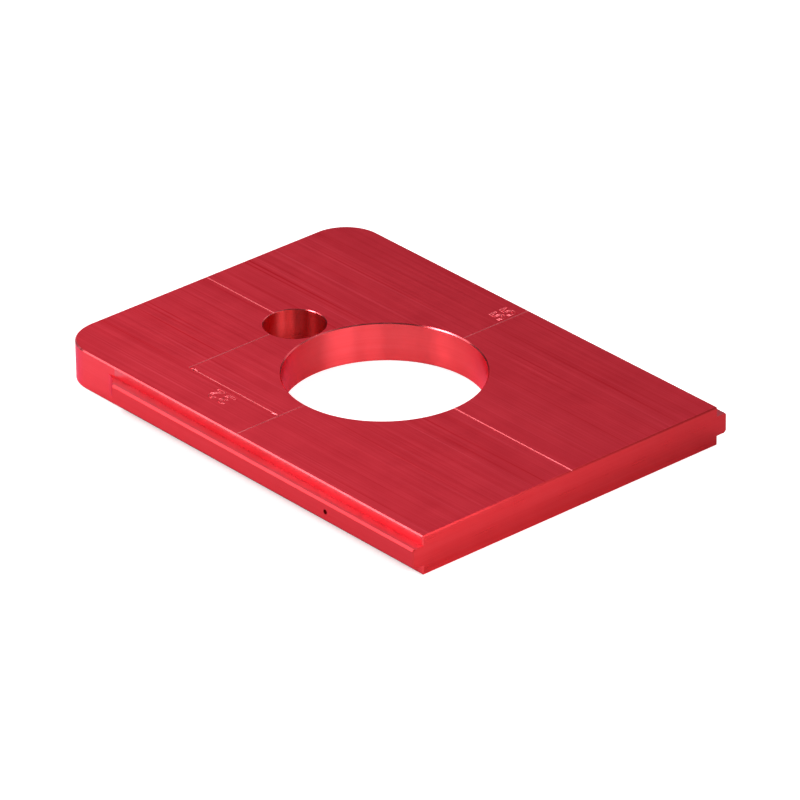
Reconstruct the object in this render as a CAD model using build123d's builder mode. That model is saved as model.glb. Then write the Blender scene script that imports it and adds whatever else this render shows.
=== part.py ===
"""Drilling jig: one machined and anodised aluminium plate.

The plate lies flat, its underside at Z = 0. X runs along the length towards the front end, Y runs
across, and the origin is on the axis of the large guide bore, which is in the middle of the plate's
length and width. All sizes are in millimetres.
"""
from build123d import *
from math import acos, atan, degrees, sin, tan
import os

# Plate
plate_thickness = 10.0
plate_length = 129.0
plate_width = 90.0
back_corner_radius = 10.0
edge_break = 0.3

# Guide bores, both on the long centre line, with a thin web left between them
guide_bore_diameter = 48.0
guide_bore_edge_break = 0.25
pilot_bore_diameter = 15.0
pilot_bore_edge_break = 0.15
bore_web = 0.5

# Tongues along both long sides, which slide in the grooves of a guide
tongue_height = 5.0
tongue_projection = 2.9
tongue_edge_chamfer = 0.5
tongue_end_break = 0.3
end_block_length = 18.0
side_cutter_radius = 6.0

# Blind pin hole in the outer face of the left tongue
pin_hole_diameter = 1.2
pin_hole_depth = 2.0
pin_hole_to_front = 30.0

# Setting-out lines on the top face, V-shaped grooves cut with a pointed engraving cutter
line_width = 0.3
line_depth = 0.15
dimension_line_from_side = 13.0
arrow_length = 2.4
arrow_width = 1.1

# Places worked out from the sizes above
front_x = plate_length / 2
back_x = -front_x
side_y = plate_width / 2
guide_radius = guide_bore_diameter / 2
pilot_radius = pilot_bore_diameter / 2
bore_spacing = guide_radius + bore_web + pilot_radius
pilot_x = -bore_spacing
tongue_bottom = (plate_thickness - tongue_height) / 2
tongue_y = side_y + tongue_projection
tongue_start_x = back_x + end_block_length
run_out_angle = degrees(acos(1 - tongue_projection / side_cutter_radius))
dimension_line_y = -side_y + dimension_line_from_side
top_plane = Plane.XY.offset(plate_thickness)

# Middle of the groove that outlines an arrowhead, measured from the arrowhead's tip
arrow_half_angle = atan(arrow_width / 2 / arrow_length)
arrow_path_tip = line_width / 2 / sin(arrow_half_angle)
arrow_path_base = arrow_length - line_width / 2
arrow_path_half_width = (arrow_path_base - arrow_path_tip) * tan(arrow_half_angle)


with BuildPart() as jig_plate:
    # Body: a rectangle with rounded corners at the back end
    with BuildSketch(Plane.XY):
        Rectangle(plate_length, plate_width)
        fillet(vertices().group_by(Axis.X)[0], radius=back_corner_radius)
    extrude(amount=plate_thickness)
    front_corners = edges().filter_by(Axis.Z).group_by(Axis.X)[-1]
    chamfer(front_corners, length=edge_break)
    outline_edges = faces().sort_by(Axis.Z)[0].edges() + faces().sort_by(Axis.Z)[-1].edges()
    chamfer(outline_edges, length=edge_break)

    # Tongues: at their back ends each runs out of the side in the hollow curve of the cutter
    with BuildSketch(Plane.XY.offset(tongue_bottom)):
        with BuildLine():
            run_out = JernArc(
                start=(tongue_start_x, side_y),
                tangent=(1, 0),
                radius=side_cutter_radius,
                arc_size=run_out_angle,
            )
            Polyline(
                run_out @ 1,
                (front_x, tongue_y),
                (front_x, side_y - tongue_projection),
                (tongue_start_x, side_y - tongue_projection),
                run_out @ 0,
            )
        make_face()
        mirror(about=Plane.XZ)
    extrude(amount=tongue_height)
    for edge_axis, break_length in ((Axis.Z, tongue_end_break), (Axis.X, tongue_edge_chamfer)):
        outer_faces = faces().filter_by(Axis.Y).group_by(Axis.Y)
        tongue_faces = outer_faces[0] + outer_faces[-1]
        chamfer(tongue_faces.edges().filter_by(edge_axis), length=break_length)

    # Guide bores through the plate, with their rims broken on both faces
    for bore_x, bore_radius, break_length in (
        (0, guide_radius, guide_bore_edge_break),
        (pilot_x, pilot_radius, pilot_bore_edge_break),
    ):
        with Locations((bore_x, 0)):
            Hole(radius=bore_radius)
        bore_rims = [rim for rim in edges().filter_by(GeomType.CIRCLE) if rim.radius == bore_radius]
        chamfer(bore_rims, length=break_length)

    # Pin hole, drilled into the outer face of the left tongue
    with BuildSketch(Plane.XZ.offset(tongue_y)):
        with Locations((front_x - pin_hole_to_front, plate_thickness / 2)):
            Circle(pin_hole_diameter / 2)
    extrude(amount=-pin_hole_depth, mode=Mode.SUBTRACT)

    # Engraved lines: the long centre line, a cross line at each bore, and a dimension line between
    # two outlined arrowheads. The lines that reach the plate's edges run off them.
    engraved_paths = [
        [(back_x - line_width, 0), (front_x + line_width, 0)],
        [(0, -side_y - line_width), (0, side_y + line_width)],
        [(pilot_x, dimension_line_y), (pilot_x, 0)],
        [(pilot_x + arrow_path_base, dimension_line_y), (-arrow_path_base, dimension_line_y)],
    ]
    for tip_x, towards_middle in ((0, -1), (pilot_x, 1)):
        path_tip = (tip_x + towards_middle * arrow_path_tip, dimension_line_y)
        base_x = tip_x + towards_middle * arrow_path_base
        upper_corner = (base_x, dimension_line_y + arrow_path_half_width)
        lower_corner = (base_x, dimension_line_y - arrow_path_half_width)
        engraved_paths.append([path_tip, upper_corner, lower_corner, path_tip])
    for path_points in engraved_paths:
        with BuildLine(top_plane) as engraved_path:
            Polyline(*path_points)
        with BuildSketch(Plane(engraved_path.line @ 0, x_dir=(0, 0, 1), z_dir=engraved_path.line % 0)):
            with BuildLine():
                Polyline((0, line_width / 2), (-line_depth, 0), (0, -line_width / 2), close=True)
            make_face()
        sweep(path=engraved_path.line, transition=Transition.RIGHT, mode=Mode.SUBTRACT)

os.makedirs("parts", exist_ok=True)
jig_plate.part.label = "jig_plate"
export_step(jig_plate.part, "parts/jig_plate.step")
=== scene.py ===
import logging
import math
from collections.abc import Iterable
from dataclasses import dataclass, field
from enum import Enum

import bmesh
import bpy
from mathutils import Matrix, Vector
from mathutils.geometry import interpolate_bezier, tessellate_polygon


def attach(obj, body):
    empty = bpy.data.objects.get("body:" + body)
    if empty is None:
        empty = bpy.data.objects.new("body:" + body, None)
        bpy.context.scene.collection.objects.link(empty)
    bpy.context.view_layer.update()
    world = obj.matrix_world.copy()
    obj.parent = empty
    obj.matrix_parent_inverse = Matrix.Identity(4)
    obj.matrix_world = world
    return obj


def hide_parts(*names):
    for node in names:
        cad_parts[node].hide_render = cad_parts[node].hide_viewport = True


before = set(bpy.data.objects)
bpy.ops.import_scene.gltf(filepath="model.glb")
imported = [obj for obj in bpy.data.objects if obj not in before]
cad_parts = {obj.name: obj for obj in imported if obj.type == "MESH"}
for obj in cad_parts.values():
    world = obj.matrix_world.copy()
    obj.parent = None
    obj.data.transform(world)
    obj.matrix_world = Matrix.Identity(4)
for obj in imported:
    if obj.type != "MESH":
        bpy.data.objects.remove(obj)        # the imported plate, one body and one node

LOG = logging.getLogger("drilling_jig")
MM = 0.001
PIECE = "drilling_jig_plate"
BODY = "root"
CAD_NODE = "jig_plate"

# Anodic film: mottling in waves per metre, what it does to the colour and to the roughness, and how
# far red, green and blue swing between the film's dark and light ends
FILM_MOTTLING = 150.0
FILM_SPREAD = 0.2
FILM_ROUGHNESS = 0.05
FILM_SHIFT = (0.10, 0.55, 0.55)
# No painted shading: the colour stays the same all along a face
NO_PAINTED_SHADING = (0.0, 0.0, 0.0)

# Pits that the etch leaves under the film: waves per metre, and height in metres
ETCH_PITS = 5200.0
ETCH_HEIGHT = 1.2e-6

# Sparse hairlines from the brush: waves per metre along X, Y and Z, and how far they stand out
HAIRLINE_SCALE = (11.0, 1500.0, 11.0)
HAIRLINE_GAIN = 3.6

# Part of a full turn that sets a stretched highlight across the tool marks
ACROSS_THE_MARKS = 0.25

# Meshes: points this close are one point, and how far a normal's upward part goes on a level face
# and on a tilted one
SAME_POINT = 1e-7
LEVEL = 0.999
TILTED = 0.1

Point = tuple[float, float]
Triple = tuple[float, float, float]


class Reading(Enum):
    """Which way an engraved number is read on the top face."""

    TOWARDS_BACK = (Vector((-1, 0)), Vector((0, -1)))
    TOWARDS_RIGHT = (Vector((0, 1)), Vector((-1, 0)))

    @property
    def along(self) -> Vector:
        """The direction of the line of text."""
        return self.value[0]

    @property
    def up(self) -> Vector:
        """The direction from a figure's foot to its head."""
        return self.value[1]


class Zone(Enum):
    """The machined zones of the plate, each with its own tool marks."""

    FACE = "anodised_face"
    SIDE = "anodised_side"
    TONGUE = "anodised_tongue"
    SHELF = "anodised_shelf"
    FRONT = "anodised_front_end"
    BORE = "anodised_guide_bore"
    PILOT = "anodised_pilot_bore"
    EDGE = "anodised_edge_break"
    GROOVE = "anodised_groove"
    FIGURE = "anodised_figure"


class Signal:
    """A shader socket that can stand in arithmetic, each sign adding a Math node."""

    def __init__(self, board: "NodeBoard", socket: bpy.types.NodeSocket | None) -> None:
        """Wraps one output socket.

        Args:
            board: The board that further nodes are added to.
            socket: The output socket, or None for a node without one.
        """
        self.board = board
        self.socket = socket

    def _math(self, operation: str, first: object, second: object) -> "Signal":
        """Adds one Math node.

        Args:
            operation: The Math node's operation.
            first: A number or a signal.
            second: A number or a signal.

        Returns:
            The node's result.
        """
        return self.board.add("ShaderNodeMath", {"operation": operation}, {0: first, 1: second})

    def __add__(self, other: object) -> "Signal":
        """This signal plus another."""
        return self._math("ADD", self, other)

    def __radd__(self, other: object) -> "Signal":
        """A number plus this signal."""
        return self._math("ADD", other, self)

    def __sub__(self, other: object) -> "Signal":
        """This signal minus another."""
        return self._math("SUBTRACT", self, other)

    def __rsub__(self, other: object) -> "Signal":
        """A number minus this signal."""
        return self._math("SUBTRACT", other, self)

    def __mul__(self, other: object) -> "Signal":
        """This signal times another."""
        return self._math("MULTIPLY", self, other)

    def __rmul__(self, other: object) -> "Signal":
        """A number times this signal."""
        return self._math("MULTIPLY", other, self)

    def __pow__(self, other: object) -> "Signal":
        """This signal to a power."""
        return self._math("POWER", self, other)


@dataclass
class NodeBoard:
    """Adds nodes to one node tree."""

    tree: bpy.types.NodeTree

    def add(
        self,
        kind: str,
        settings: dict[str, object] | None = None,
        inputs: dict[int | str, object] | None = None,
        output: int | str = 0,
    ) -> Signal:
        """Adds one node, sets it up and links it.

        Args:
            kind: The node's type.
            settings: Attributes of the node, set before its sockets.
            inputs: A value or a signal for each socket, by name or place.
            output: The name or place of the output that is handed back.

        Returns:
            The chosen output.
        """
        node = self.tree.nodes.new(kind)
        for name, value in (settings or {}).items():
            setattr(node, name, value)
        for name, value in (inputs or {}).items():
            if isinstance(value, Signal):
                self.tree.links.new(value.socket, node.inputs[name])
            elif isinstance(value, bpy.types.NodeSocket):
                self.tree.links.new(value, node.inputs[name])
            else:
                node.inputs[name].default_value = value
        return Signal(self, node.outputs[output] if node.outputs else None)


@dataclass(frozen=True)
class Grain:
    """One scale of tool or brush marks: waves per metre, weight in the colour, height in metres."""

    scale: Triple
    weight: float
    height: float


@dataclass(frozen=True)
class AnodisedFinish:
    """Dyed, sealed anodic film over aluminium, with the marks of the tool that cut the zone.

    The painted shading scales the colour by 1 plus its product with the place on the plate in
    metres: painted light towards one end of a face and painted shade towards the other.
    """

    zone: Zone
    colour: Triple
    roughness: float
    grains: tuple[Grain, ...]
    roughness_spread: float = 0.25
    hairlines: float = 0.0
    anisotropy: float = 0.0
    edge_tint: Triple = (1.0, 0.55, 0.75)
    painted_shading: Triple = NO_PAINTED_SHADING

    def build(self) -> bpy.types.Material:
        """Builds the material.

        Returns:
            The material, all in Object coordinates.
        """
        material = bpy.data.materials.new(self.zone.value)
        material.use_nodes = True
        tree = material.node_tree
        tree.nodes.clear()
        board = NodeBoard(tree)
        place = board.add("ShaderNodeTexCoord", output="Object")
        marks, height = 0.0, 0.0
        for grain in self.grains:
            noise = self._noise(board, place, grain.scale)
            marks = noise * grain.weight + marks
            height = noise * grain.height + height
        film = self._noise(board, place, (FILM_MOTTLING,) * 3)
        etch = self._noise(board, place, (ETCH_PITS,) * 3)
        shade = marks + film * FILM_SPREAD + 0.5
        if self.hairlines:
            shade = self._scratches(board, place) * self.hairlines + shade
        colour = board.add(
            "ShaderNodeMix",
            {"data_type": "RGBA", "clamp_factor": True},
            {"Factor": shade, 6: self._shifted(-1.0), 7: self._shifted(1.0)},
            output=2,
        )
        # Painted light and shade: the colour grows lighter towards one end of the face and darker
        # towards the other
        if self.painted_shading != NO_PAINTED_SHADING:
            shading_factor = board.add(
                "ShaderNodeVectorMath",
                {"operation": "DOT_PRODUCT"},
                {0: place, 1: self.painted_shading},
                output="Value",
            )
            colour = board.add(
                "ShaderNodeVectorMath", {"operation": "SCALE"}, {0: colour, "Scale": shading_factor + 1.0}
            )
        normal = board.add(
            "ShaderNodeBump",
            {},
            {"Strength": 1.0, "Distance": 1.0, "Height": etch * ETCH_HEIGHT + height},
        )
        roughness = marks * self.roughness_spread + film * FILM_ROUGHNESS + self.roughness
        shader = board.add(
            "ShaderNodeBsdfPrincipled",
            {},
            {
                "Base Color": colour,
                "Roughness": roughness,
                "Metallic": 1.0,
                "Normal": normal,
                "Anisotropic": self.anisotropy,
                "Anisotropic Rotation": ACROSS_THE_MARKS if self.anisotropy else 0.0,
                "Specular Tint": (*self.edge_tint, 1.0),
            },
        )
        board.add("ShaderNodeOutputMaterial", {}, {"Surface": shader})
        return material

    def _shifted(self, towards: float) -> tuple[float, float, float, float]:
        """The film's colour where it is thickest or thinnest.

        Args:
            towards: -1 for the dark end and 1 for the light end.

        Returns:
            The colour with its alpha.
        """
        swings = zip(self.colour, FILM_SHIFT)
        return (*(min(1.0, part * (1 + towards * shift)) for part, shift in swings), 1.0)

    @staticmethod
    def _scratches(board: NodeBoard, place: Signal) -> Signal:
        """Sparse long hairlines along the plate.

        Args:
            board: The board of the material.
            place: Object coordinates.

        Returns:
            About nought between the hairlines, above it on the light ones and below it on the dark.
        """
        lines = AnodisedFinish._noise(board, place, HAIRLINE_SCALE) * HAIRLINE_GAIN
        return lines * lines * lines

    @staticmethod
    def _noise(board: NodeBoard, place: Signal, scale: Triple) -> Signal:
        """Noise with its own scale along each axis.

        Args:
            board: The board of the material.
            place: Object coordinates.
            scale: Waves per metre along X, Y and Z.

        Returns:
            Noise about nought.
        """
        stretched = board.add(
            "ShaderNodeMapping", {"vector_type": "POINT"}, {"Vector": place, "Scale": scale}
        )
        noise = board.add(
            "ShaderNodeTexNoise",
            {"noise_dimensions": "3D"},
            {"Vector": stretched, "Scale": 1.0, "Detail": 2.0, "Roughness": 0.5},
        )
        return noise - 0.5


@dataclass
class EngravingCutter:
    """A pointed cutter that follows paths on the top face, as V-shaped bars to cut away.

    The bars rise over the face so that they cut it cleanly, and taper at their open ends.
    """

    face_height: float
    tip_width: float = 0.03 * MM
    rise: float = 0.12 * MM
    end_taper: float = 0.02

    def tree(self) -> bpy.types.NodeTree:
        """Builds the node group that runs the cutter's profile along the paths.

        Returns:
            The group, with named inputs for the paths, the groove's sizes and its finish.
        """
        tree = bpy.data.node_groups.new("engraving_cutter", "GeometryNodeTree")
        sockets = tree.interface
        sockets.new_socket("Paths", in_out="INPUT", socket_type="NodeSocketGeometry")
        for name in ("Groove Width", "Groove Depth", "Tip Width", "Rise"):
            sockets.new_socket(name, in_out="INPUT", socket_type="NodeSocketFloat")
        sockets.new_socket("Finish", in_out="INPUT", socket_type="NodeSocketMaterial")
        sockets.new_socket("Bars", in_out="OUTPUT", socket_type="NodeSocketGeometry")
        board = NodeBoard(tree)
        given = tree.nodes.new("NodeGroupInput").outputs
        width, depth, tip, rise = (
            Signal(board, given[n]) for n in ("Groove Width", "Groove Depth", "Tip Width", "Rise")
        )
        slope = (width - tip) * 0.5 * depth ** -1.0
        top_half = width * 0.5 + rise * slope
        corners = {
            "Point 1": self._corner(board, top_half, rise),
            "Point 2": self._corner(board, tip * 0.5, depth * -1.0),
            "Point 3": self._corner(board, tip * -0.5, depth * -1.0),
            "Point 4": self._corner(board, top_half * -1.0, rise),
        }
        profile = board.add("GeometryNodeCurvePrimitiveQuadrilateral", {"mode": "POINTS"}, corners)
        upright = board.add(
            "GeometryNodeSetCurveNormal", {"mode": "Z_UP"}, {"Curve": given["Paths"]}
        )
        bars = board.add(
            "GeometryNodeCurveToMesh",
            {},
            {"Curve": upright, "Profile Curve": profile, "Fill Caps": True},
        )
        solid = board.add("GeometryNodeRealizeInstances", {}, {"Geometry": bars})
        dressed = board.add(
            "GeometryNodeSetMaterial", {}, {"Geometry": solid, "Material": given["Finish"]}
        )
        tree.links.new(dressed.socket, tree.nodes.new("NodeGroupOutput").inputs["Bars"])
        return tree

    @staticmethod
    def _corner(board: NodeBoard, across: Signal, up: Signal) -> Signal:
        """One corner of the profile.

        Args:
            board: The board of the group.
            across: Its place across the groove.
            up: Its height over the face.

        Returns:
            The corner as a vector.
        """
        return board.add("ShaderNodeCombineXYZ", {}, {"X": across, "Y": up * -1.0})

    def bars(
        self,
        name: str,
        paths: list[list[Point]],
        width: float,
        depth: float,
        finish: bpy.types.Material,
    ) -> bpy.types.Object:
        """Runs the cutter along some paths.

        Args:
            name: The new piece's name.
            paths: Paths on the top face; a path that ends where it starts is closed.
            width: The groove's width at the face.
            depth: The groove's depth.
            finish: The finish of the groove's walls.

        Returns:
            A plain mesh of the bars.
        """
        curve = bpy.data.curves.new(name + "_paths", "CURVE")
        curve.dimensions = "3D"
        for path in paths:
            self._add_spline(curve, path, width)
        holder = bpy.data.objects.new(name + "_paths", curve)
        bpy.context.scene.collection.objects.link(holder)
        modifier = holder.modifiers.new("cutter", "NODES")
        modifier.node_group = self.tree()
        values = {
            "Groove Width": width,
            "Groove Depth": depth,
            "Tip Width": self.tip_width,
            "Rise": self.rise,
            "Finish": finish,
        }
        for socket in modifier.node_group.interface.items_tree:
            if socket.in_out == "INPUT" and socket.name in values:
                modifier[socket.identifier] = values[socket.name]
        graph = bpy.context.evaluated_depsgraph_get()
        mesh = bpy.data.meshes.new_from_object(holder.evaluated_get(graph))
        bpy.data.objects.remove(holder)
        bars = bpy.data.objects.new(name, mesh)
        bpy.context.scene.collection.objects.link(bars)
        return bars

    def _add_spline(self, curve: bpy.types.Curve, path: list[Point], width: float) -> None:
        """Adds one path to a curve, its open ends tapered as the cutter's cone leaves them.

        Args:
            curve: The curve.
            path: Points on the top face.
            width: The groove's width.
        """
        points = [Vector(p) for p in path]
        closed = (points[0] - points[-1]).length < SAME_POINT
        if closed:
            points.pop()
            radii = [1.0] * len(points)
        else:
            half = width / 2
            first = (points[0] - points[1]).normalized()
            last = (points[-1] - points[-2]).normalized()
            points = [points[0] + first * half, *points, points[-1] + last * half]
            radii = [self.end_taper, *[1.0] * (len(points) - 2), self.end_taper]
        spline = curve.splines.new("POLY")
        spline.points.add(len(points) - 1)
        spline.use_cyclic_u = closed
        for target, point, radius in zip(spline.points, points, radii):
            target.co = (point.x, point.y, self.face_height, 1.0)
            target.radius = radius


@dataclass
class EngravedNumber:
    """A number engraved in outlined figures, each fitted to a box of one height and width.

    The shortest step is in the letter's own units, and shorter ones in its outlines are dropped.
    """

    text: str
    reading: Reading
    foot: Point
    pitch: float
    height: float
    width: float
    arc_steps: int = 7
    shortest_step: float = 1e-3

    def paths(self) -> list[list[Point]]:
        """The outlines on the top face.

        Returns:
            One closed path for each outline.
        """
        found = []
        for place, figure in enumerate(self.text):
            start = Vector(self.foot) + self.reading.along * (self.pitch * place)
            outlines = self._outlines(figure)
            spots = [spot for outline in outlines for spot in outline]
            low = Vector((min(p.x for p in spots), min(p.y for p in spots)))
            high = Vector((max(p.x for p in spots), max(p.y for p in spots)))
            for outline in outlines:
                path = []
                for spot in outline:
                    across = self.width * (spot.x - low.x) / (high.x - low.x)
                    up = self.height * (spot.y - low.y) / (high.y - low.y)
                    path.append(tuple(start + self.reading.along * across + self.reading.up * up))
                found.append([*path, path[0]])
        return found

    def _outlines(self, figure: str) -> list[list[Vector]]:
        """A figure's outlines in Blender's own plain letter.

        Args:
            figure: The figure.

        Returns:
            The points of each closed outline.
        """
        letter = bpy.data.curves.new("figure", "FONT")
        letter.body = figure
        holder = bpy.data.objects.new("figure", letter)
        bpy.context.scene.collection.objects.link(holder)
        drawn = holder.to_curve(bpy.context.evaluated_depsgraph_get())
        outlines = []
        for spline in drawn.splines:
            knots = spline.bezier_points
            outline = []
            for here, there in zip(knots, [*knots[1:], knots[0]]):
                handles = (here.co, here.handle_right, there.handle_left, there.co)
                outline += interpolate_bezier(*handles, self.arc_steps)[:-1]
            following = outline[1:] + outline[:1]
            pairs = zip(outline, following)
            outlines.append([p for p, q in pairs if (p - q).length > self.shortest_step])
        holder.to_curve_clear()
        bpy.data.objects.remove(holder)
        bpy.data.curves.remove(letter)
        return outlines


@dataclass
class Bore:
    """A round bore through the plate."""

    centre_x: float
    radius: float
    edge_break: float
    segments: int

    def ring(self, level: float, flare: float) -> list[Vector]:
        """Points round the bore.

        Args:
            level: The ring's height.
            flare: How much wider than the bore the ring is.

        Returns:
            The points, counter-clockwise from above.
        """
        reach = self.radius + flare
        angles = (2 * math.pi * i / self.segments for i in range(self.segments))
        return [
            Vector((self.centre_x + reach * math.cos(angle), reach * math.sin(angle), level))
            for angle in angles
        ]


@dataclass
class JigPlate:
    """The plate: its body, side tongues, bores, pin hole and engraving, as one closed mesh.

    An edge sharper than the crease stays crisp. The level slack and the facing say when a face
    counts as level with the top or the underside and as square to an axis.
    """

    thickness: float = 10.0 * MM
    length: float = 129.0 * MM
    width: float = 90.0 * MM
    corner_radius: float = 10.0 * MM
    edge_break: float = 0.3 * MM
    tongue_height: float = 5.0 * MM
    tongue_projection: float = 2.9 * MM
    tongue_chamfer: float = 0.5 * MM
    tongue_end_break: float = 0.3 * MM
    end_block: float = 18.0 * MM
    cutter_radius: float = 6.0 * MM
    guide_radius: float = 24.0 * MM
    guide_edge_break: float = 0.25 * MM
    pilot_radius: float = 7.5 * MM
    pilot_edge_break: float = 0.15 * MM
    bore_spacing: float = 32.0 * MM
    pin_radius: float = 0.6 * MM
    pin_depth: float = 2.0 * MM
    pin_to_front: float = 30.0 * MM
    line_width: float = 0.3 * MM
    line_depth: float = 0.15 * MM
    figure_line: float = 0.18 * MM
    figure_depth: float = 0.1 * MM
    dimension_y: float = -32.0 * MM
    arrow_length: float = 2.4 * MM
    arrow_width: float = 1.1 * MM
    corner_steps: int = 32
    run_out_steps: int = 14
    guide_segments: int = 224
    pilot_segments: int = 112
    pin_segments: int = 40
    crease: float = math.radians(24)
    level_slack: float = 1e-6
    facing: float = 0.99
    finishes: dict[Zone, bpy.types.Material] = field(default_factory=dict)

    @property
    def front(self) -> float:
        """X of the front end face."""
        return self.length / 2

    @property
    def side(self) -> float:
        """Y of the right side face."""
        return self.width / 2

    def bores(self) -> list[Bore]:
        """The guide bore and the pilot bore."""
        return [
            Bore(0.0, self.guide_radius, self.guide_edge_break, self.guide_segments),
            Bore(-self.bore_spacing, self.pilot_radius, self.pilot_edge_break, self.pilot_segments),
        ]

    def build(self) -> bpy.types.Object:
        """Builds the plate and takes the engraving and the pin hole out of it.

        Returns:
            The finished piece.
        """
        plate = self._link(PIECE, self._blank())
        cutter = EngravingCutter(self.thickness)
        groove = (self.line_width, self.line_depth, self.finishes[Zone.GROOVE])
        stroke = (self.figure_line, self.figure_depth, self.finishes[Zone.FIGURE])
        tools = [
            cutter.bars("cross_lines", self._cross_lines(), *groove),
            cutter.bars("long_lines", self._long_lines(), *groove),
            cutter.bars("arrowheads", self._arrowheads(), *groove),
            cutter.bars("figures", self._figures(), *stroke),
            self._pin_drill(),
        ]
        for tool in tools:
            self._cut(plate, tool)
        self._sort_zones(plate.data)
        return plate

    @staticmethod
    def _link(name: str, mesh: bpy.types.Mesh) -> bpy.types.Object:
        """Makes a mesh an object of the scene.

        Args:
            name: The object's name.
            mesh: Its mesh.

        Returns:
            The object.
        """
        made = bpy.data.objects.new(name, mesh)
        bpy.context.scene.collection.objects.link(made)
        return made

    def _tongue_reach(self, x: float) -> float:
        """How far the tongue has run out of the side at a place along the plate.

        Args:
            x: The place along the plate.

        Returns:
            The reach of the cutter's curve, up to the full projection.
        """
        run = x - (self.end_block - self.front)
        if run <= 0:
            return 0.0
        if run >= self.cutter_radius:
            return self.tongue_projection
        curve = self.cutter_radius - math.sqrt(self.cutter_radius**2 - run**2)
        return min(curve, self.tongue_projection)

    def _outline(self, inset: float, tongue: float) -> list[Point]:
        """The plate's outline at one level, with as many points at every level.

        Args:
            inset: How far the edge break has taken the body's outline in.
            tongue: How far the tongues stand proud at most.

        Returns:
            Points from the front end's right corner along the right side, round the back and
            forward along the left side.
        """
        start = self.end_block - self.front
        left_over = self.cutter_radius - self.tongue_projection
        run_out = math.sqrt(self.cutter_radius**2 - left_over**2)
        stations = [start + run_out * i / self.run_out_steps for i in range(self.run_out_steps + 1)]
        end_break = self.tongue_end_break
        right = [
            (self.front - inset, self.side + tongue - max(inset, end_break)),
            (self.front - max(inset, end_break), self.side - inset + tongue),
        ]
        for x in [stations[-1] + end_break, *reversed(stations)]:
            drawn = max(0.0, end_break - abs(x - stations[-1])) if x >= stations[-1] else 0.0
            reach = min(self._tongue_reach(x) - drawn, tongue) if tongue > 0 else 0.0
            right.append((x, self.side - inset + max(0.0, reach)))
        centre_x, centre_y = self.corner_radius - self.front, self.side - self.corner_radius
        radius = self.corner_radius - inset
        for step in range(self.corner_steps + 1):
            angle = math.pi / 2 * (1 + step / self.corner_steps)
            right.append((centre_x + radius * math.cos(angle), centre_y + radius * math.sin(angle)))
        return right + [(x, -y) for x, y in reversed(right)]

    def _levels(self) -> list[tuple[float, float, float]]:
        """The outline's levels from the underside up: height, inset and tongue."""
        low = (self.thickness - self.tongue_height) / 2
        high = low + self.tongue_height
        full = self.tongue_projection
        eased = full - self.tongue_chamfer
        return [
            (0.0, self.edge_break, 0.0),
            (self.edge_break, 0.0, 0.0),
            (low, 0.0, 0.0),
            (low, 0.0, eased),
            (low + self.tongue_chamfer, 0.0, full),
            (high - self.tongue_chamfer, 0.0, full),
            (high, 0.0, eased),
            (high, 0.0, 0.0),
            (self.thickness - self.edge_break, 0.0, 0.0),
            (self.thickness, self.edge_break, 0.0),
        ]

    def _blank(self) -> bpy.types.Mesh:
        """The plate before engraving, from stacked outlines and rings.

        Strips of faces join the levels, but the front end between its edge breaks is one face.

        Returns:
            A closed mesh with outward faces.
        """
        work = bmesh.new()
        stack = []
        for level, inset, tongue in self._levels():
            stack.append([work.verts.new((x, y, level)) for x, y in self._outline(inset, tongue)])
        count = len(stack[0])
        last = len(stack) - 1
        for low, (below, above) in enumerate(zip(stack, stack[1:])):
            for i in range(count):
                j = (i + 1) % count
                across_front = i == count - 1
                if across_front and 0 < low < last - 1:
                    continue
                work.faces.new((below[i], above[i], above[j], below[j]))
        upright = stack[1:-1]
        work.faces.new([ring[0] for ring in upright] + [ring[-1] for ring in reversed(upright)])
        lower, upper = [stack[0]], [stack[-1]]
        for bore in self.bores():
            rings = []
            for level, flare in (
                (0.0, bore.edge_break),
                (bore.edge_break, 0.0),
                (self.thickness - bore.edge_break, 0.0),
                (self.thickness, bore.edge_break),
            ):
                rings.append([work.verts.new(p) for p in bore.ring(level, flare)])
            for below, above in zip(rings, rings[1:]):
                for i in range(bore.segments):
                    j = (i + 1) % bore.segments
                    work.faces.new((below[i], below[j], above[j], above[i]))
            lower.append(rings[0])
            upper.append(rings[-1])
        for rings in (lower, upper):
            corners = [vertex for ring in rings for vertex in ring]
            for triangle in tessellate_polygon([[vertex.co for vertex in ring] for ring in rings]):
                work.faces.new([corners[i] for i in triangle])
        bmesh.ops.remove_doubles(work, verts=work.verts, dist=SAME_POINT)
        bmesh.ops.dissolve_degenerate(work, edges=work.edges, dist=SAME_POINT)
        bmesh.ops.recalc_face_normals(work, faces=work.faces)
        mesh = bpy.data.meshes.new(PIECE)
        work.to_mesh(mesh)
        work.free()
        return mesh

    def _cross_lines(self) -> list[list[Point]]:
        """The lines across the plate at the two bores."""
        over = self.side + self.line_width
        pilot = -self.bore_spacing
        return [[(0.0, -over), (0.0, over)], [(pilot, self.dimension_y), (pilot, 0.0)]]

    def _long_lines(self) -> list[list[Point]]:
        """The centre line and the dimension line."""
        over = self.front + self.line_width
        stop = self.arrow_length - self.line_width
        return [
            [(-over, 0.0), (over, 0.0)],
            [(-self.bore_spacing + stop, self.dimension_y), (-stop, self.dimension_y)],
        ]

    def _arrowheads(self) -> list[list[Point]]:
        """The outlined arrowheads, their tips on the cross lines."""
        half_angle = math.atan(self.arrow_width / 2 / self.arrow_length)
        tip = self.line_width / 2 / math.sin(half_angle)
        base = self.arrow_length - self.line_width / 2
        half = (base - tip) * math.tan(half_angle)
        heads = []
        for x, inwards in ((0.0, -1), (-self.bore_spacing, 1)):
            point = (x + inwards * tip, self.dimension_y)
            upper = (x + inwards * base, self.dimension_y + half)
            lower = (x + inwards * base, self.dimension_y - half)
            heads += [[point, upper], [upper, lower], [lower, point]]
        return heads

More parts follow.
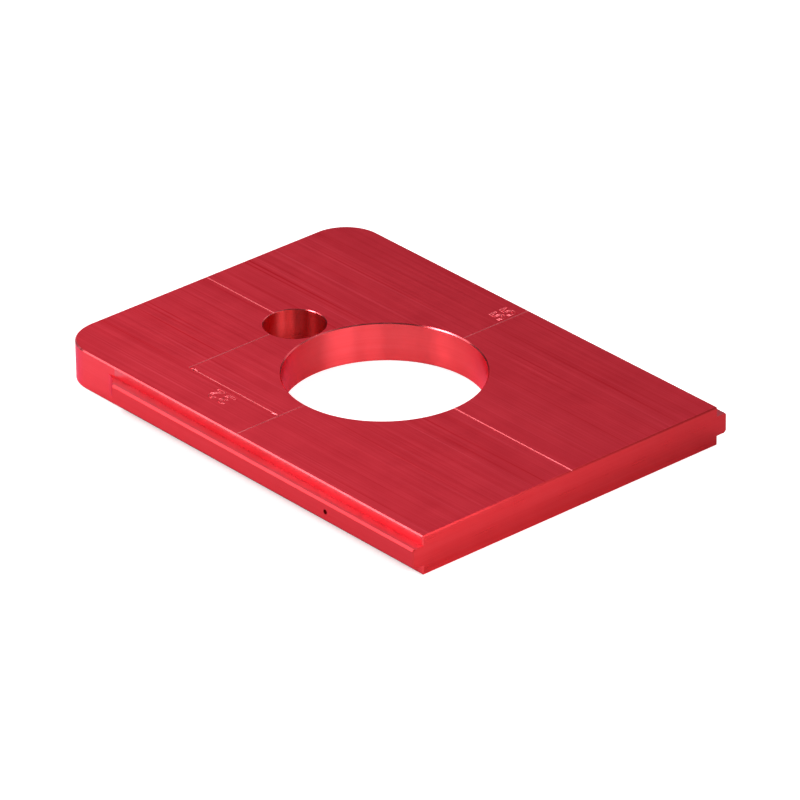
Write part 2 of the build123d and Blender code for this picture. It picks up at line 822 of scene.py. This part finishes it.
    def _figures(self) -> list[list[Point]]:
        """The outlines of the two numbers, one by the dimension line and one by the cross line."""
        spacing = EngravedNumber(
            text="32",
            reading=Reading.TOWARDS_BACK,
            foot=(-12.9 * MM, -33.85 * MM),
            pitch=3.7 * MM,
            height=4.1 * MM,
            width=2.6 * MM,
        )
        reach = EngravedNumber(
            text="55",
            reading=Reading.TOWARDS_RIGHT,
            foot=(-1.0 * MM, 36.4 * MM),
            pitch=3.15 * MM,
            height=3.9 * MM,
            width=2.6 * MM,
        )
        return spacing.paths() + reach.paths()

    def _pin_drill(self) -> bpy.types.Object:
        """The drill for the pin hole in the left tongue, with a flat end.

        Returns:
            The drill, which stands out of the plate by as much as it goes in.
        """
        work = bmesh.new()
        bmesh.ops.create_cone(
            work,
            cap_ends=True,
            segments=self.pin_segments,
            radius1=self.pin_radius,
            radius2=self.pin_radius,
            depth=self.pin_depth * 2,
        )
        face = -self.side - self.tongue_projection
        turn = Matrix.Translation((self.front - self.pin_to_front, face, self.thickness / 2))
        work.transform(turn @ Matrix.Rotation(math.pi / 2, 4, "X"))
        mesh = bpy.data.meshes.new("pin_drill")
        work.to_mesh(mesh)
        work.free()
        return self._link("pin_drill", mesh)

    @staticmethod
    def _cut(plate: bpy.types.Object, tool: bpy.types.Object) -> None:
        """Takes a tool's form out of the plate.

        Args:
            plate: The plate.
            tool: The form, removed afterwards.
        """
        modifier = plate.modifiers.new("cut", "BOOLEAN")
        modifier.operation = "DIFFERENCE"
        modifier.solver = "EXACT"
        modifier.use_self = True
        modifier.object = tool
        graph = bpy.context.evaluated_depsgraph_get()
        cut = bpy.data.meshes.new_from_object(plate.evaluated_get(graph))
        plate.modifiers.clear()
        old = plate.data
        plate.data = cut
        bpy.data.meshes.remove(old)
        bpy.data.objects.remove(tool)

    def _zone_of(self, face: bmesh.types.BMFace) -> Zone:
        """Which zone a face belongs to.

        Args:
            face: A face of the plate.

        Returns:
            Its zone.
        """
        centre = face.calc_center_median()
        tilted = abs(face.normal.z) > TILTED
        engraved = centre.z > self.thickness - 2 * self.line_depth
        if abs(face.normal.z) > LEVEL:
            if min(abs(centre.z - self.thickness), abs(centre.z)) < self.level_slack:
                return Zone.FACE
            return Zone.GROOVE if engraved else Zone.SHELF
        for bore in self.bores():
            reach = math.hypot(centre.x - bore.centre_x, centre.y)
            if reach < bore.radius + bore.edge_break:
                wall = Zone.PILOT if bore.centre_x < 0 else Zone.BORE
                return Zone.EDGE if tilted else wall
        across, along = abs(centre.y), abs(centre.x)
        inside = across < self.side - self.edge_break and along < self.front - self.edge_break
        if engraved and inside:
            return self._engraved_zone(centre)
        at_front = centre.x > self.front - self.edge_break
        on_tongue = across > self.side + self.edge_break
        if at_front and (tilted or face.normal.x > self.facing):
            return Zone.FRONT
        if tilted:
            return Zone.SIDE if on_tongue else Zone.EDGE
        if on_tongue:
            return Zone.TONGUE
        over_tongue = centre.z > (self.thickness + self.tongue_height) / 2
        past_run_out = centre.x > self.end_block - self.front + self.tongue_projection
        on_wall = over_tongue and past_run_out and abs(face.normal.y) > self.facing
        return Zone.SHELF if on_wall else Zone.SIDE

    def _engraved_zone(self, centre: Vector) -> Zone:
        """Whether a groove's wall belongs to a figure or to a line.

        Args:
            centre: The middle of the wall.

        Returns:
            The figures' zone or the lines' zone.
        """
        by_cross_line = centre.y > self.side / 2 and abs(centre.x) > 2 * self.line_width
        below_dimension = centre.y < self.dimension_y - self.arrow_width
        by_dimension_line = below_dimension and centre.x < -self.arrow_length
        return Zone.FIGURE if by_cross_line or by_dimension_line else Zone.GROOVE

    @staticmethod
    def _clean(work: bmesh.types.BMesh) -> None:
        """Clears what cutting leaves: doubled points, points inside an edge, and loose chips.

        Args:
            work: The plate's mesh.
        """
        bmesh.ops.remove_doubles(work, verts=work.verts, dist=SAME_POINT)
        bmesh.ops.dissolve_degenerate(work, edges=work.edges, dist=SAME_POINT)
        in_an_edge = [vertex for vertex in work.verts if len(vertex.link_edges) == 2]
        bmesh.ops.dissolve_verts(work, verts=in_an_edge)
        body = set()
        ahead = [max(work.verts, key=lambda vertex: vertex.co.x)]
        while ahead:
            vertex = ahead.pop()
            if vertex not in body:
                body.add(vertex)
                ahead += [edge.other_vert(vertex) for edge in vertex.link_edges]
        chips = [vertex for vertex in work.verts if vertex not in body]
        bmesh.ops.delete(work, geom=chips, context="VERTS")

    def _sort_zones(self, mesh: bpy.types.Mesh) -> None:
        """Gives each face its zone's finish, smooths the curved walls and keeps the edges crisp.

        Args:
            mesh: The plate's mesh.
        """
        mesh.materials.clear()
        order = list(Zone)
        for zone in order:
            mesh.materials.append(self.finishes[zone])
        work = bmesh.new()
        work.from_mesh(mesh)
        self._clean(work)
        work.normal_update()
        for face in work.faces:
            face.material_index = order.index(self._zone_of(face))
            face.smooth = True
        for edge in work.edges:
            edge.smooth = edge.calc_face_angle(math.pi) < self.crease
        work.to_mesh(mesh)
        work.free()


@dataclass(frozen=True)
class SoftLight:
    """A rectangular soft box that points at the middle of the plate.

    Its azimuth is in degrees from the front end towards the right side.
    """

    name: str
    azimuth: float
    elevation: float
    size: tuple[float, float]
    radiance: float
    distance: float = 0.95

    def place(self) -> None:
        """Hangs the lamp in its place."""
        around, above = math.radians(self.azimuth), math.radians(self.elevation)
        level = math.cos(above)
        back = Vector((math.cos(around) * level, math.sin(around) * level, math.sin(above)))
        lamp = bpy.data.lights.new(self.name, "AREA")
        lamp.shape = "RECTANGLE"
        lamp.size, lamp.size_y = self.size
        lamp.energy = self.radiance * math.pi * self.size[0] * self.size[1]
        holder = bpy.data.objects.new(self.name, lamp)
        bpy.context.scene.collection.objects.link(holder)
        holder.location = back * self.distance
        holder.rotation_euler = back.to_track_quat("Z", "Y").to_euler()
        holder.visible_camera = False


@dataclass(frozen=True)
class Studio:
    """Pale floor, plain soft light and the camera.

    The camera's azimuth is in degrees from the left side towards the front end.
    """

    target: Triple = (12.929 * MM, -6.567 * MM, 10.0 * MM)
    distance: float = 1.77035
    azimuth: float = 49.169
    elevation: float = 28.277
    roll: float = -0.754
    lens: float = 347.146
    sensor: float = 36.0
    clip: tuple[float, float] = (0.1, 20.0)
    floor_size: float = 6.0
    floor_drop: float = 0.05 * MM
    floor_whiteness: float = 0.72
    floor_glow: float = 0.62
    world_in_gloss: float = 0.09
    world_as_light: float = 0.1
    lights: tuple[SoftLight, ...] = (
        SoftLight("left_back", -122.0, 47.0, (0.30, 0.22), 16.0),
        SoftLight("left_back_low", -145.0, 36.0, (0.25, 0.25), 2.1),
        SoftLight("front", 10.0, 30.0, (0.55, 0.30), 11.3),
        SoftLight("front_left", -27.0, 30.0, (0.35, 0.30), 6.6),
        SoftLight("back", 180.0, 50.0, (0.30, 0.30), 18.0),
        SoftLight("back_right", 151.0, 45.0, (0.35, 0.40), 0.70),
        SoftLight("right_back", 120.0, 48.0, (0.30, 0.30), 1.2),
        SoftLight("back_right_low", 138.0, 27.0, (0.60, 0.35), 0.16),
        SoftLight("right", 92.0, 27.0, (0.60, 0.35), 0.9),
        SoftLight("left_front", -62.0, 25.0, (0.50, 0.30), 1.7),
        SoftLight("right_front", 50.0, 42.0, (0.35, 0.35), 0.6),
    )

    def build(self) -> None:
        """Sets up the whole studio."""
        scene = bpy.context.scene
        scene.view_settings.view_transform = "Standard"
        self._camera(scene)
        self._world(scene)
        self._floor()
        for light in self.lights:
            light.place()

    def _camera(self, scene: bpy.types.Scene) -> None:
        """Places the camera.

        Args:
            scene: The scene that looks through it.
        """
        around, above = math.radians(self.azimuth), math.radians(self.elevation)
        level = math.cos(above)
        back = Vector((math.sin(around) * level, -math.cos(around) * level, math.sin(above)))
        data = bpy.data.cameras.new("camera")
        data.sensor_width = self.sensor
        data.lens = self.lens
        data.clip_start, data.clip_end = self.clip
        camera = bpy.data.objects.new("camera", data)
        scene.collection.objects.link(camera)
        roll = Matrix.Rotation(math.radians(self.roll), 3, "Z")
        turn = (-back).to_track_quat("-Z", "Y").to_matrix() @ roll
        camera.location = Vector(self.target) + back * self.distance
        camera.rotation_euler = turn.to_euler()
        scene.camera = camera

    @staticmethod
    def _strength(
        board: NodeBoard, in_gloss: float, as_light: float, to_eye: float = 1.0
    ) -> Signal:
        """A strength that differs for the eye, for a gloss and for the light on the plate.

        Args:
            board: The board of the material or world.
            in_gloss: The strength in reflections and through clear things.
            as_light: The strength for all other light.
            to_eye: The strength straight from the camera.

        Returns:
            The strength.
        """
        rays = board.tree.nodes.new("ShaderNodeLightPath").outputs
        kinds = ("Is Camera Ray", "Is Glossy Ray", "Is Transmission Ray")
        camera, gloss, through = (Signal(board, rays[kind]) for kind in kinds)
        mirrored = board.add("ShaderNodeMath", {"operation": "MAXIMUM"}, {0: gloss, 1: through})
        return camera * (to_eye - as_light) + mirrored * (in_gloss - as_light) + as_light

    def _world(self, scene: bpy.types.Scene) -> None:
        """White to the eye, a soft grey as light.

        Args:
            scene: The scene that the world surrounds.
        """
        world = bpy.data.worlds.new("studio")
        scene.world = world
        world.use_nodes = True
        world.node_tree.nodes.clear()
        board = NodeBoard(world.node_tree)
        strength = self._strength(board, self.world_in_gloss, self.world_as_light)
        light = board.add(
            "ShaderNodeBackground", {}, {"Color": (1.0, 1.0, 1.0, 1.0), "Strength": strength}
        )
        board.add("ShaderNodeOutputWorld", {}, {"Surface": light})

    def _floor(self) -> None:
        """A white floor that keeps the plate's shadow."""
        half = self.floor_size / 2
        mesh = bpy.data.meshes.new("floor")
        plan = ((-half, -half), (half, -half), (half, half), (-half, half))
        mesh.from_pydata([(x, y, -self.floor_drop) for x, y in plan], [], [(0, 1, 2, 3)])
        floor = bpy.data.objects.new("floor", mesh)
        bpy.context.scene.collection.objects.link(floor)
        material = bpy.data.materials.new("white_floor")
        material.use_nodes = True
        material.node_tree.nodes.clear()
        board = NodeBoard(material.node_tree)
        grey = (*(self.floor_whiteness,) * 3, 1.0)
        paper = board.add("ShaderNodeBsdfDiffuse", {}, {"Color": grey})
        strength = self._strength(board, 0.0, 0.0, self.floor_glow)
        glow = board.add("ShaderNodeEmission", {}, {"Strength": strength})
        both = board.add("ShaderNodeAddShader", {}, {0: paper, 1: glow})
        board.add("ShaderNodeOutputMaterial", {}, {"Surface": both})
        mesh.materials.append(material)


# Linear reds of the film in each zone, with painted light and shade in them: the side faces and
# the guide bore are painted lighter than the top face, the tongue faces, the front end and the
# pilot bore painted darker, the shelf paler where light that bounces between walls deepens it, the
# edge breaks paler partly for worn thin film and partly as a painted highlight, and the grooves and
# figures paler as painted glints; and the tints of the edge breaks and grooves at a grazing angle
ANODISED_RED = (0.82, 0.047, 0.064)
SIDE_PAINTED_LIGHT_RED = (0.92, 0.07, 0.085)
TONGUE_PAINTED_SHADE_RED = (0.72, 0.042, 0.05)
SHELF_RED = (0.82, 0.125, 0.15)
FRONT_PAINTED_SHADE_RED = (0.66, 0.037, 0.044)
BORE_PAINTED_LIGHT_RED = (0.90, 0.085, 0.10)
PILOT_PAINTED_SHADE_RED = (0.76, 0.07, 0.075)
EDGE_WEAR_AND_HIGHLIGHT_RED = (0.88, 0.12, 0.14)
LINE_PAINTED_GLINT_RED = (0.70, 0.12, 0.14)
FIGURE_PAINTED_GLINT_RED = (0.86, 0.17, 0.20)
WORN_TINT = (1.0, 0.45, 0.55)
CUT_TINT = (1.0, 0.6, 0.7)

# Marks of the brush along the plate, of the cutter round its walls, and of the broken edges
BRUSHED = (
    Grain((3.0, 240.0, 3.0), 0.10, 2.0e-6),
    Grain((8.0, 1100.0, 8.0), 0.36, 2.0e-6),
    Grain((22.0, 2600.0, 22.0), 0.55, 1.0e-6),
)
MILLED = (
    Grain((12.0, 12.0, 900.0), 0.3, 1.2e-6),
    Grain((40.0, 40.0, 3200.0), 0.3, 0.7e-6),
)
BROKEN = (Grain((220.0, 220.0, 220.0), 0.8, 1.0e-6),)

FINISHES = (
    AnodisedFinish(
        Zone.FACE, ANODISED_RED, 0.36, BRUSHED, roughness_spread=0.12, hairlines=0.9
    ),
    # Painted light: the side faces and the tongue chamfers are made lighter than the top face
    AnodisedFinish(Zone.SIDE, SIDE_PAINTED_LIGHT_RED, 0.30, MILLED, anisotropy=0.6),
    # Painted shade and light: the tongue faces are darker than the side faces, darker still towards
    # the front end and lighter towards the back
    AnodisedFinish(
        Zone.TONGUE, TONGUE_PAINTED_SHADE_RED, 0.30, MILLED, anisotropy=0.6, painted_shading=(-1.6, 0.0, 0.0)
    ),
    AnodisedFinish(Zone.SHELF, SHELF_RED, 0.32, MILLED),
    # Painted shade: the front end is darker than the top face, darker towards the right side and
    # lighter towards the left
    AnodisedFinish(Zone.FRONT, FRONT_PAINTED_SHADE_RED, 0.30, MILLED, anisotropy=0.6, painted_shading=(0.0, -4.4, 0.0)),
    # Painted light and shade: the guide bore's wall is lighter than the top face, lighter still
    # towards the front and right, darker towards the back and left
    AnodisedFinish(Zone.BORE, BORE_PAINTED_LIGHT_RED, 0.33, MILLED, anisotropy=0.95, painted_shading=(3.9, 4.5, 0.0)),
    # Painted shade: the pilot bore's wall is darker than the guide bore's
    AnodisedFinish(Zone.PILOT, PILOT_PAINTED_SHADE_RED, 0.30, MILLED, anisotropy=0.95),
    # Paler edge breaks: partly worn thin film, partly a painted highlight along the edges
    AnodisedFinish(Zone.EDGE, EDGE_WEAR_AND_HIGHLIGHT_RED, 0.24, BROKEN, edge_tint=WORN_TINT),
    # Painted highlight: the grooves and the figures are paler pink than the top face, standing in
    # for glints on their walls
    AnodisedFinish(Zone.GROOVE, LINE_PAINTED_GLINT_RED, 0.26, BROKEN, edge_tint=WORN_TINT),
    AnodisedFinish(Zone.FIGURE, FIGURE_PAINTED_GLINT_RED, 0.40, BROKEN, edge_tint=CUT_TINT),
)


def main() -> None:
    """Builds the plate and the studio, and reports each piece."""
    logging.basicConfig(level=logging.INFO, format="%(name)s: %(message)s")
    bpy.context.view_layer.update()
    finishes = {finish.zone: finish.build() for finish in FINISHES}
    plate = JigPlate(finishes=finishes).build()
    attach(plate, BODY)
    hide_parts(CAD_NODE)
    LOG.info("%s: %d faces", plate.name, len(plate.data.polygons))
    Studio().build()
    LOG.info("studio: floor, world, camera and lamps")


if __name__ == "__main__":
    main()
